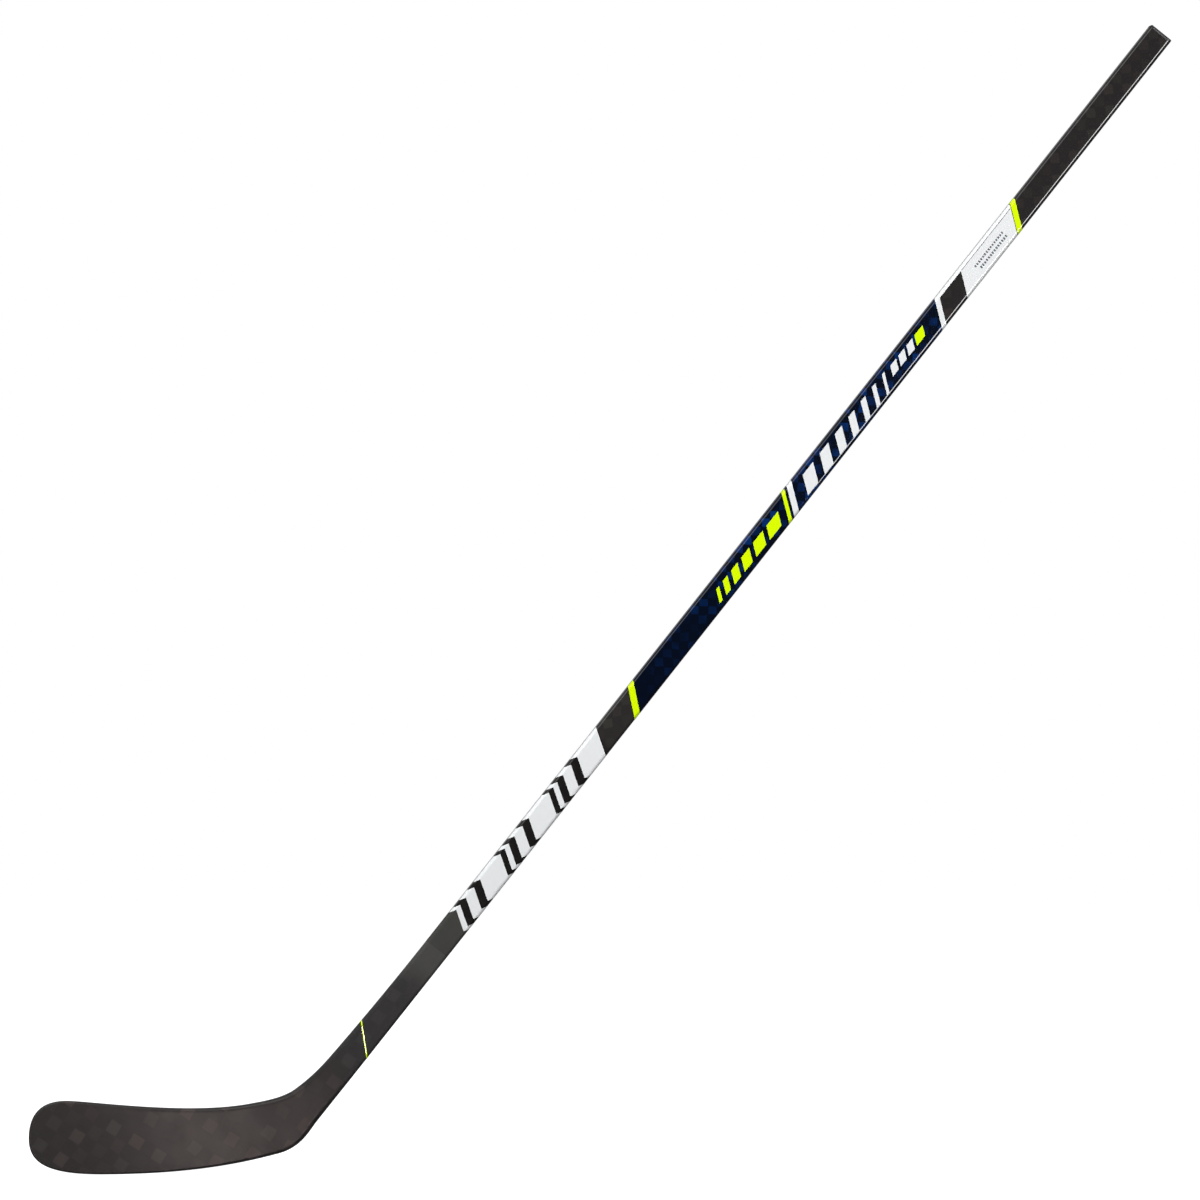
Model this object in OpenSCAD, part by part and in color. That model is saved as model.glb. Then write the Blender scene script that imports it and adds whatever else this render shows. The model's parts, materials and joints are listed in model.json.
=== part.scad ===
// Composite ice hockey stick: a hollow carbon shaft with a fused, foam-cored carbon blade.
// Origin: centre of the butt end's outer face. +Z is up, the stick lies in the XZ plane with its
// toe towards -X, and -Y is the side that the concave (forehand) face looks to.
// The stick is drawn as it is held, its blade's rocker touching the ice.

/* [Shaft] */
// Length of the straight part, from the butt's outer face to the blade joint
straight_len = 1263; // [900:1:1300]
// Width of the shaft across its broad faces
shaft_w = 28; // [26:0.1:31]
// Thickness of the shaft from face to face
shaft_t = 19; // [18:0.2:22]
// Corner radius of the shaft
shaft_r = 3.75; // [2.8:0.1:4.5]
// Wall of the carbon tube
shaft_wall = 1.8; // [1.6:0.1:2.6]
// Angle between the shaft and the ice
lie_angle = 51.7; // [50:0.1:53]

/* [End plug] */
// Thickness of the end plug's flange
flange_t = 3; // [2:0.5:5]
// Depth that the end plug reaches into the tube
plug_len = 38; // [20:1:60]
// Wall of the end plug's hollow body
plug_wall = 1.8; // [1.2:0.1:2.4]
// Width of each crush rib on the end plug
rib_w = 1.2; // [0.8:0.1:2]

/* [Blade joint] */
// Depth of the joint insert inside the shaft
insert_up = 65; // [40:1:90]
// Depth of the joint insert's tongue inside the neck
insert_down = 36; // [20:1:38]
// Thickness of the glue around the insert and the end plug
glue_t = 0.3; // [0.2:0.05:0.4]

/* [Blade] */
// How far the toe stands forward of the shaft's middle plane
toe_offset = 41; // [0:1:60]
// How far the top edge leans back at the toe, in degrees
loft = 6; // [0:0.5:10]
// Thickness of the carbon face skins
skin_t = 1.1; // [0.8:0.1:1.4]
// Thickness of the blade at the joint, neck, throat, heel, toe crown and toe tip
blade_t = [19, 17.2, 13.6, 10.4, 6.2, 5.4];
// Radius of the blade's rounded edges at the same places
edge_r = [3.75, 3.9, 5.2, 4.2, 2.5, 2.2];

/* [Graphics] */
// Thickness of the transfer films
film_t = 0.12; // [0.1:0.01:0.2]
// Lean of the upper stripes and bars away from square across the shaft, in degrees
upper_slant = 37; // [20:1:45]
// Lean of the lower neon stripe, in degrees
lower_slant = 40; // [20:1:45]
// Lean of the large white bars, in degrees
bar_slant = 32.5; // [20:0.5:45]

/* [Hidden] */
$fn = 48;

// Distance along the shaft's centre line from the blade joint down to the ice
neck_len = 306.9;
// Half the width of the shaft
half_w = shaft_w / 2;
// Heading of the centre line, walking from the butt towards the blade
down_heading = 180 + lie_angle;

// ---- Shaft-side helpers -------------------------------------------------------------------

// Stands a shape drawn about the Z axis, butt end up, along the leaning shaft
module along_shaft() {
    rotate([0, 90 - lie_angle, 0]) children();
}

// Rounded rectangle with true corner arcs
module rounded_rect(w, t, r) {
    square([w - 2 * r, t], center = true);
    square([w, t - 2 * r], center = true);
    for (sx = [-1, 1], sy = [-1, 1])
        translate([sx * (w / 2 - r), sy * (t / 2 - r)]) circle(r);
}

// Bar with the shaft's outline, grown by g, from u0 to u1 millimetres below the butt
module shaft_bar(u0, u1, g = 0) {
    translate([0, 0, -u1])
        linear_extrude(u1 - u0) rounded_rect(shaft_w + 2 * g, shaft_t + 2 * g, shaft_r + g);
}

// Extrudes a drawing of the shaft's broad face, [across, along], right through the shaft.
// across is + towards the outer long edge; along is measured down from the butt.
module through_shaft() {
    translate([0, shaft_t, 0]) rotate([90, 0, 0]) linear_extrude(2 * shaft_t) children();
}

// Thin film on the shaft wherever the drawing covers it
module film(u0, u1) {
    along_shaft() intersection() {
        difference() {
            shaft_bar(u0, u1, film_t);
            shaft_bar(u0 - 1, u1 + 1);
        }
        through_shaft() children();
    }
}

// Band across the face between u0 and u1 on the centre line, from v0 to v1 across it
module band(u0, u1, slant, v0 = -20, v1 = 20) {
    polygon([for (p = [[v0, u0], [v1, u0], [v1, u1], [v0, u1]])
        [p[0], -(p[1] + p[0] * tan(slant))]]);
}

// ---- Shaft pieces -------------------------------------------------------------------------

// Inside of the tube
bore_w = shaft_w - 2 * shaft_wall;
bore_t = shaft_t - 2 * shaft_wall;
bore_r = shaft_r - shaft_wall + 0.4;

module bore_bar(u0, u1, g = 0) {
    translate([0, 0, -u1])
        linear_extrude(u1 - u0) rounded_rect(bore_w + 2 * g, bore_t + 2 * g, bore_r + g);
}

module shaft_tube() {
    color("#2b2a2a") along_shaft() difference() {
        shaft_bar(flange_t, straight_len);
        bore_bar(flange_t - 1, straight_len + 1);
    }
}

// Side view of the flange with its outer corners rounded, across a width w
module rounded_cap(w) {
    rim_r = 1.4;
    translate([-w / 2, -flange_t]) square([w, flange_t - rim_r]);
    translate([rim_r - w / 2, -flange_t]) square([w - 2 * rim_r, flange_t]);
    for (s = [-1, 1]) translate([s * (w / 2 - rim_r), -rim_r]) circle(rim_r);
}

module end_plug() {
    cavity = bore_r - glue_t - 0.4;
    color("#1c1c1d") along_shaft() {
        intersection() {
            shaft_bar(0, flange_t);
            through_shaft() rounded_cap(shaft_w);
            rotate([0, 0, 90]) translate([0, shaft_w, 0]) rotate([90, 0, 0])
                linear_extrude(2 * shaft_w) rounded_cap(shaft_t);
        }
        difference() {
            bore_bar(flange_t, flange_t + plug_len, -glue_t);
            translate([0, 0, -flange_t - plug_len - 1]) linear_extrude(plug_len - 1)
                rounded_rect(bore_w - 2 * (glue_t + plug_wall),
                             bore_t - 2 * (glue_t + plug_wall), cavity);
        }
        crush_ribs();
    }
}

// Ribs that cross the glue gap and grip the tube's broad walls
module crush_ribs() {
    rib_top = flange_t + 4;
    for (x = [-8, 0, 8], s = [-1, 1])
        translate([x - rib_w / 2, s * (bore_t - glue_t) / 2 - glue_t / 2, -flange_t - plug_len])
            cube([rib_w, glue_t, plug_len - 4]);
}

module plug_glue() {
    color("#c9b98c") along_shaft() difference() {
        bore_bar(flange_t, flange_t + plug_len);
        bore_bar(flange_t - 1, flange_t + plug_len + 1, -glue_t);
        crush_ribs();
    }
}

// ---- Joint pieces -------------------------------------------------------------------------

module joint_insert() {
    tongue_w = shaft_w - 2 * (shaft_r + 1) - 1;
    tongue_t = shaft_t - 2 * skin_t - 1.6;
    color("#3a3836") along_shaft() {
        bore_bar(straight_len - insert_up, straight_len, -glue_t);
        translate([0, 0, -straight_len - insert_down])
            linear_extrude(insert_down + 1) rounded_rect(tongue_w, tongue_t, 1.6);
    }
}

module joint_glue() {
    color("#b7a06a") along_shaft() difference() {
        bore_bar(straight_len - insert_up, straight_len);
        bore_bar(straight_len - insert_up - 1, straight_len + 1, -glue_t);
    }
}

// ---- Blade geometry -----------------------------------------------------------------------
// Blade outlines are drawn in ice coordinates: [x, z], where z = 0 is the ice and x = 0 is
// where the shaft's centre line meets it.

// Point beside the centre line, d up from the ice and off towards the inner long edge
function by_shaft(d, off) = [d * cos(lie_angle) - off * sin(lie_angle),
                             d * sin(lie_angle) + off * cos(lie_angle)];

// Knots of the two edges, paired from the joint to the toe tip:
// [point, heading in degrees, pull before it, pull after it]
top_edge = [[by_shaft(neck_len, half_w), down_heading, 0, 52],
            [[76, 124.9], 229, 54, 21],
            [[36.8, 88.6], 215.9, 17, 17],
            [[-15.1, 72.5], 189.4, 17, 69.5],
            [[-208.7, 81], 177.7, 24.5, 29],
            [[-248.1, 43], 270, 23.5, 0]];
bottom_edge = [[by_shaft(neck_len, -half_w), down_heading, 0, 54],
               [by_shaft(144.9, -half_w), down_heading, 54, 22],
               [by_shaft(78.9, -half_w), down_heading, 22, 12],
               [[18.7, 18.7], 194.7, 25.9, 37.9],
               [[-171.6, 0.9], 177.5, 96.7, 61.5],
               [[-248.1, 43], 90, 24, 0]];
// Steps between one knot and the next
steps = [8, 5, 6, 13, 10];
// Stations across the skins from the top edge to the bottom edge; the rib is the middle cell
across = [0, 0.12, 0.24, 0.36, 0.47, 0.53, 0.64, 0.76, 0.88, 1];
rib_cell = 4;
last_cell = len(across) - 1;

function ahead(a) = [cos(a), sin(a)];
function reversed(v) = [for (i = [len(v) - 1:-1:0]) v[i]];
function bezier(p, q, r, s, t) =
    pow(1 - t, 3) * p + 3 * t * pow(1 - t, 2) * q + 3 * t * t * (1 - t) * r + pow(t, 3) * s;
function edge_point(knots, i, t) =
    let (a = knots[i], b = knots[i + 1])
    bezier(a[0], a[0] + a[3] * ahead(a[1]), b[0] - b[2] * ahead(b[1]), b[0], t);
function edge(knots) = [
    for (i = [0:len(steps) - 1], k = [0:steps[i] - 1]) edge_point(knots, i, k / steps[i]),
    knots[len(steps)][0]];

// Smooth values through the knots, one for each station
function knot_v(v, i) = v[max(0, min(len(v) - 1, i))];
function spline(a, b, c, d, t) =
    b + t * (c - a) / 2 + t * t * (a - 2.5 * b + 2 * c - d / 2)
    + pow(t, 3) * (1.5 * b - a / 2 - 1.5 * c + d / 2);
function by_station(v) = [
    for (i = [0:len(steps) - 1], k = [0:steps[i] - 1])
        spline(knot_v(v, i - 1), knot_v(v, i), knot_v(v, i + 1), knot_v(v, i + 2), k / steps[i]),
    v[len(v) - 1]];
thick = by_station(blade_t);
rounding = by_station(edge_r);

top_line = edge(top_edge);
bottom_line = edge(bottom_edge);
tip = len(top_line) - 1;

// The whole rim in one walk: joint, top edge, toe, bottom edge, joint
rim = concat(top_line, [for (k = [tip - 1:-1:0]) bottom_line[k]]);
rim_last = len(rim) - 1;
function station(k) = k <= tip ? k : rim_last - k;
function unit(v) = v / norm(v);
// Outward direction of the rim at point k; the two ends are square to the shaft
function outward(k) =
    k == 0 ? by_shaft(0, 1) :
    k == rim_last ? by_shaft(0, -1) :
    let (d = unit(rim[k + 1] - rim[k - 1])) [d[1], -d[0]];
function corner_r(k) = min(rounding[station(k)], 0.44 * thick[station(k)]);
function wrap_depth(k) = corner_r(k) + 1;
function seam_at(k) = rim[k] - wrap_depth(k) * outward(k);
// Line where the skins and cores meet the edge wrap, straight across the toe
seam = [for (k = [0:rim_last])
    k == tip ? (seam_at(k - 1) + seam_at(k + 1)) / 2 : seam_at(k)];

// The blade's middle surface: forward sweep of the toe, and the top edge leaning back
bow_start = 7;
toe_x = top_edge[len(top_edge) - 1][0][0];
loft_axis_z = 36;
function sweep(x) = max(0, (bow_start - x) / (bow_start - toe_x));
function middle_y(p) =
    -toe_offset * pow(sweep(p[0]), 1.9)
    + (p[1] - loft_axis_z) * tan(loft) * pow(sweep(p[0]), 1.3);

// Ice coordinates to the part's own frame
butt = by_shaft(straight_len + neck_len, 0);
function place(p, y) = [p[0] - butt[0], y, p[1] - butt[1]];

// Point on the ruling line of station j, at c in the list across, h forward of the middle
function ruled(j, c, h) =
    let (p = seam[j] * (1 - across[c]) + seam[rim_last - j] * across[c])
    place(p, middle_y(p) + h);

// Closed solid over stations j0 to j1 and cells c0 to c1, between two depths at each station
module slab(j0, j1, c0, c1, front, back) {
    n = c1 - c0 + 1;
    rows = j1 - j0 + 1;
    points = concat(
        [for (j = [j0:j1], c = [c0:c1]) ruled(j, c, front[j])],
        [for (j = [j0:j1], c = [c0:c1]) ruled(j, c, back[j])]);
    half = rows * n;
    function f(r, c) = r * n + c;
    function b(r, c) = half + r * n + c;
    faces = concat(
        [for (r = [0:rows - 2], c = [0:n - 2]) [f(r, c), f(r + 1, c + 1), f(r + 1, c)]],
        [for (r = [0:rows - 2], c = [0:n - 2]) [f(r, c), f(r, c + 1), f(r + 1, c + 1)]],
        [for (r = [0:rows - 2], c = [0:n - 2]) [b(r, c), b(r + 1, c), b(r + 1, c + 1)]],
        [for (r = [0:rows - 2], c = [0:n - 2]) [b(r, c), b(r + 1, c + 1), b(r, c + 1)]],
        [for (r = [0:rows - 2]) [f(r, 0), f(r + 1, 0), b(r + 1, 0), b(r, 0)]],
        [for (r = [0:rows - 2]) [f(r + 1, n - 1), f(r, n - 1), b(r, n - 1), b(r + 1, n - 1)]],
        [for (c = [0:n - 2]) [f(0, c + 1), f(0, c), b(0, c), b(0, c + 1)]],
        [for (c = [0:n - 2]) [f(rows - 1, c), f(rows - 1, c + 1),
                              b(rows - 1, c + 1), b(rows - 1, c)]]);
    polyhedron(points, faces);
}

front_face = [for (t = thick) -t / 2];
front_inner = [for (t = thick) skin_t - t / 2];
back_inner = [for (t = thick) t / 2 - skin_t];
back_face = [for (t = thick) t / 2];
// Stations where the neck core starts and where the blade cores start
core_start = 2;
throat = steps[0] + steps[1];

// ---- Blade pieces -------------------------------------------------------------------------

module blade_skin_front() {
    color("#474342") slab(0, tip - 1, 0, last_cell, front_face, front_inner);
}

module blade_skin_back() {
    color("#474342") slab(0, tip - 1, 0, last_cell, back_inner, back_face);
}

module neck_core() {
    color("#c8bfa6") slab(core_start, throat, 0, last_cell, front_inner, back_inner);
}

module blade_core_upper() {
    color("#ddd6bf") slab(throat, tip - 1, 0, rib_cell, front_inner, back_inner);
}

module blade_core_lower() {
    color("#b9c6b0") slab(throat, tip - 1, rib_cell + 1, last_cell, front_inner, back_inner);
}

module blade_rib() {
    color("#262424")
        slab(throat, tip - 1, rib_cell, rib_cell + 1, front_inner, back_inner);
}

// Half-section of the rim at point k, grown by g: [distance out from the seam, depth] pairs
arc_steps = 5;
function rim_profile(k, g = 0) =
    let (t = thick[station(k)], r = corner_r(k), e = norm(rim[k] - seam[k]))
    concat([[0, -t / 2 - g]],
           [for (i = [0:arc_steps]) let (a = 90 * i / arc_steps - 90)
               [e - r + (r + g) * cos(a), r - t / 2 + (r + g) * sin(a)]],
           [for (i = [0:arc_steps]) let (a = 90 * i / arc_steps)
               [e - r + (r + g) * cos(a), t / 2 - r + (r + g) * sin(a)]],
           [[0, t / 2 + g]]);
function rim_ring(k, g = 0) =
    let (out = unit(rim[k] - seam[k]))
    [for (q = rim_profile(k, g)) let (p = seam[k] + q[0] * out) place(p, middle_y(p) + q[1])];

// Skins a list of rings, each with the same number of points, into one closed solid
module loft_rings(rings) {
    n = len(rings[0]);
    last = len(rings) - 1;
    points = [for (ring = rings, p = ring) p];
    faces = concat(
        [for (k = [0:last - 1], i = [0:n - 1]) [k * n + i, (k + 1) * n + i,
                                                (k + 1) * n + (i + 1) % n]],
        [for (k = [0:last - 1], i = [0:n - 1]) [k * n + i, (k + 1) * n + (i + 1) % n,
                                                k * n + (i + 1) % n]],
        [[for (i = [0:n - 1]) i]],
        [[for (i = [n - 1:-1:0]) last * n + i]]);
    polyhedron(points, faces);
}

module blade_edge_wrap() {
    color("#3d3a39") loft_rings([for (k = [0:rim_last]) rim_ring(k)]);
}

// Outside of the neck, grown by g, between two stations
module neck_body(j0, j1, g) {
    loft_rings([for (j = [j0:j1])
        concat(rim_ring(j, g), reversed([for (p = rim_ring(rim_last - j, g)) p]))]);
}

// ---- Graphics -----------------------------------------------------------------------------
// Every film is one thickness and they lie side by side. Places along the shaft are measured
// down from the butt on the centre line.

upper_neon = [250, 257.5];
panel_end = 345;
slash = [382, 389];
blue_end = 915.5;
lower_neon = [915.5, 924.5];
small_bars_at = 414;
wide_bars_at = 480;
white_slash = [639, 647];
neon_slash = [651, 656];
neon_bars_at = 667;
blocks_at = 977.5;
// How far across the face the flat part reaches before the corners turn
flat_v = half_w - shaft_r;

// Slanted bars one after another, each width longer or shorter than the last by grow
module bar_run(start, widths, gap, slant, v0, v1) {
    for (i = [0:len(widths) - 1]) {
        u = start + gap * i + sum_before(widths, i);
        band(u, u + widths[i], slant, v0, v1);
    }
}
function sum_before(v, i) = i == 0 ? 0 : v[i - 1] + sum_before(v, i - 1);

module white_panel_2d() {
    difference() {
        union() {
            band(upper_neon[1] + 0.9, panel_end, upper_slant);
            band(panel_end - 1, slash[1] - 2, upper_slant, -20, -flat_v - 0.35);
            band(slash[0], slash[1], upper_slant);
        }
        ticks_2d();
    }
}

// Two rows of small dashes on the panel, and the hairline along its inner long edge
module ticks_2d() {
    dash = 2;
    pitch = 3.3;
    for (row = [0, 1], i = [0:14 - row])
        band(276 + i * pitch, 276 + i * pitch + dash, 0, -2.6 + row * 5.4, -0.2 + row * 5.8);
    band(upper_neon[1] + 1.7, panel_end - 1, upper_slant, -flat_v - 0.8, -flat_v - 0.1);
}

module white_bars_2d() {
    band(small_bars_at + 18, small_bars_at + 28, upper_slant, -7, 2.5);
    band(small_bars_at + 32, small_bars_at + 42, upper_slant, -7, 2.5);
    band(small_bars_at + 46, small_bars_at + 56, upper_slant, -7, 2.5);
    bar_run(wide_bars_at, [4, 6, 8, 10, 12, 15, 18], 11.5, upper_slant, -8.2, 10.2);
    band(white_slash[0], white_slash[1], upper_slant);
}

module neon_bars_2d() {
    band(small_bars_at, small_bars_at + 14, upper_slant, -7, 2.5);
    band(neon_slash[0], neon_slash[1], upper_slant);
    bar_run(neon_bars_at, [20, 17, 14, 11, 8, 5], 6.5, upper_slant, -4.8, 7.8);
}

// Slanted edge across the face at u, folding back where it turns over the long corners
function folded_edge(u, fold) =
    let (over = 6, turn_v = flat_v + 0.15, lean = tan(bar_slant))
    [for (v = [-turn_v - over, -turn_v, turn_v, turn_v + over])
        let (past = abs(v) - turn_v)
        [v, -(u + v * lean - (past > 0 ? sign(v) * past * fold : 0))]];

// A large bar from u0 to u1
module block(u0, u1, fold0 = 2.5) {
    polygon(concat(folded_edge(u0, fold0), reversed(folded_edge(u1, 2.5))));
}

module upper_neon_stripe() {
    color("#d9f21a") film(200, 300) band(upper_neon[0], upper_neon[1], upper_slant);
}

module white_panel() {
    color("#e6ebf2") film(200, 420) white_panel_2d();
}

module panel_ticks() {
    color("#6f747c") film(200, 420) ticks_2d();
}

module blue_wrap() {
    color("#06163a") film(340, 960) difference() {
        intersection() {
            band(slash[1], blue_end + 40, upper_slant);
            band(slash[1] - 40, blue_end, lower_slant);
        }
        white_bars_2d();
        neon_bars_2d();
    }
}

module white_bars() {
    color("#eef1f5") film(380, 700) white_bars_2d();
}

module neon_bars() {
    color("#d9f21a") film(380, 800) neon_bars_2d();
}

module lower_neon_stripe() {
    color("#d9f21a") film(880, 960) band(lower_neon[0], lower_neon[1], lower_slant);
}

// Three groups of large bars, each group a wide, a middle and a narrow one
module block_bars_2d() {
    group_len = 84.5;
    wide = 35;
    middle = [46, 60];
    narrow = [70, 77];
    for (i = [0:2]) {
        u = blocks_at + i * group_len;
        block(u, u + wide, i == 0 ? 0 : 2.5);
        block(u + middle[0], u + middle[1]);
        block(u + narrow[0], u + narrow[1]);
    }
}

module block_bars() {
    color("#e9edf1") film(940, 1255) block_bars_2d();
}

module heel_line() {
    line_d = 180;
    line_w = 1.9;
    line_slant = 43;
    color("#d9f21a") difference() {
        intersection() {
            neck_body(4, 8, film_t + 0.01);
            along_shaft() through_shaft()
                band(straight_len + neck_len - line_d - line_w / 2,
                     straight_len + neck_len - line_d + line_w / 2, line_slant);
        }
        neck_body(3, 9, 0.01);
    }
}

shaft_tube();
end_plug();
plug_glue();
joint_insert();
joint_glue();
neck_core();
blade_core_upper();
blade_core_lower();
blade_rib();
blade_skin_front();
blade_skin_back();
blade_edge_wrap();
upper_neon_stripe();
white_panel();
panel_ticks();
blue_wrap();
white_bars();
neon_bars();
lower_neon_stripe();
block_bars();
heel_line();
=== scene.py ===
import json
import logging
import math
from dataclasses import dataclass, field
from enum import Enum

import bmesh
import bpy
import numpy as np
from mathutils import Matrix, Vector


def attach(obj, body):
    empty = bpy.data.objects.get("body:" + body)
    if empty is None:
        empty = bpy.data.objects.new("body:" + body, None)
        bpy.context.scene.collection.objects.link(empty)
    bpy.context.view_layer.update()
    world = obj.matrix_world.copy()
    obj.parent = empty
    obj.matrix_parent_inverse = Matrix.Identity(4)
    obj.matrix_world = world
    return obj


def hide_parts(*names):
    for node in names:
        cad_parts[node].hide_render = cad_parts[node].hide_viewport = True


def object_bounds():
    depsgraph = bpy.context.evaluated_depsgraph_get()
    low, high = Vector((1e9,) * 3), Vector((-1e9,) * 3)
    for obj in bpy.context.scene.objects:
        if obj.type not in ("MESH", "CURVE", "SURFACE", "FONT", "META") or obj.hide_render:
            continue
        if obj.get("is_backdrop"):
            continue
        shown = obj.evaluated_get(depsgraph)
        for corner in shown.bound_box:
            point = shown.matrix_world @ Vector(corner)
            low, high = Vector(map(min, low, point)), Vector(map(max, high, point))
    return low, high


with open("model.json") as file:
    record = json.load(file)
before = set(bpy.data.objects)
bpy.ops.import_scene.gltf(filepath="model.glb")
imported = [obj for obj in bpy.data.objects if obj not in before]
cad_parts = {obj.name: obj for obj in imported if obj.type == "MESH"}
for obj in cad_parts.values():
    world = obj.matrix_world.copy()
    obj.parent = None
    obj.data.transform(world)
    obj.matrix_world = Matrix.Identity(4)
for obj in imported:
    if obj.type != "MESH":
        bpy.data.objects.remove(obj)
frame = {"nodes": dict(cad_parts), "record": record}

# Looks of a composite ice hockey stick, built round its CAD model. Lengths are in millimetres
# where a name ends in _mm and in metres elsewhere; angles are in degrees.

log = logging.getLogger("hockey_stick")

MM = 0.001
PER_METRE = 1000.0
KEY_STEPS = 1000  # steps in a millimetre, by which points that meet are matched
BODY = "root"
Colour = tuple[float, float, float]
Normals = dict[tuple[int, ...], np.ndarray]
Socket = bpy.types.NodeSocket


class Slot(Enum):
    """The record's material slots that the visible and inner pieces take their finish from."""

    CARBON_GLOSS = "carbon_gloss"
    CARBON_MATTE = "carbon_matte"
    CARBON_RAW = "carbon_raw"
    PLUG = "plug_plastic"
    HOT_MELT = "hot_melt"
    INSERT = "insert_composite"
    EPOXY = "epoxy"
    FOAM_DENSE = "foam_dense"
    FOAM_LIGHT = "foam_light"
    FOAM_GREEN = "foam_green"
    NEON = "neon_film"
    WHITE = "white_film"
    GREY = "grey_ink"
    BLUE = "blue_film"


class Edge(Enum):
    """The two long edges of the blade, seen with the toe to the left."""

    TOP = "top"
    BOTTOM = "bottom"


# ---------------------------------------------------------------------------
# Places on the stick
# ---------------------------------------------------------------------------


@dataclass(frozen=True)
class ShaftAxes:
    """The leaning shaft's own directions in the row frame.

    Attributes:
        up: Unit vector along the shaft, out of the butt.
        outer: Unit vector across the broad face, towards the outer long edge.
    """

    up: Vector
    outer: Vector

    @classmethod
    def from_record(cls, record: dict) -> "ShaftAxes":
        """Reads the shaft's direction from the butt face mount.

        Args:
            record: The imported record.

        Returns:
            The shaft's axes.
        """
        butt = next(m for m in record["mounts"] if m["name"] == "butt_face")
        up = Vector(butt["axis"]).normalized()
        return cls(up, Vector((up.z, 0.0, -up.x)))

    @property
    def lie(self) -> float:
        """The shaft's angle above the ice, in degrees."""
        return math.degrees(math.atan2(self.up.z, self.up.x))

    def beside(self, from_ice_mm: float, inward_mm: float) -> tuple[float, float]:
        """Gives a point beside the centre line in ice coordinates.

        Args:
            from_ice_mm: Distance up the centre line from the ice.
            inward_mm: Distance towards the inner long edge.

        Returns:
            The x and z of the point, in millimetres.
        """
        c, s = self.up.x, self.up.z
        return (from_ice_mm * c - inward_mm * s, from_ice_mm * s + inward_mm * c)


@dataclass(frozen=True)
class Knot:
    """A point of a blade edge: place, heading, and the pulls of the curve before and after."""

    x_mm: float
    z_mm: float
    heading: float
    pull_in_mm: float
    pull_out_mm: float

    @property
    def point(self) -> np.ndarray:
        """The knot's place as an array."""
        return np.array([self.x_mm, self.z_mm])

    @property
    def ahead(self) -> np.ndarray:
        """Unit vector along the heading."""
        a = math.radians(self.heading)
        return np.array([math.cos(a), math.sin(a)])


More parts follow.
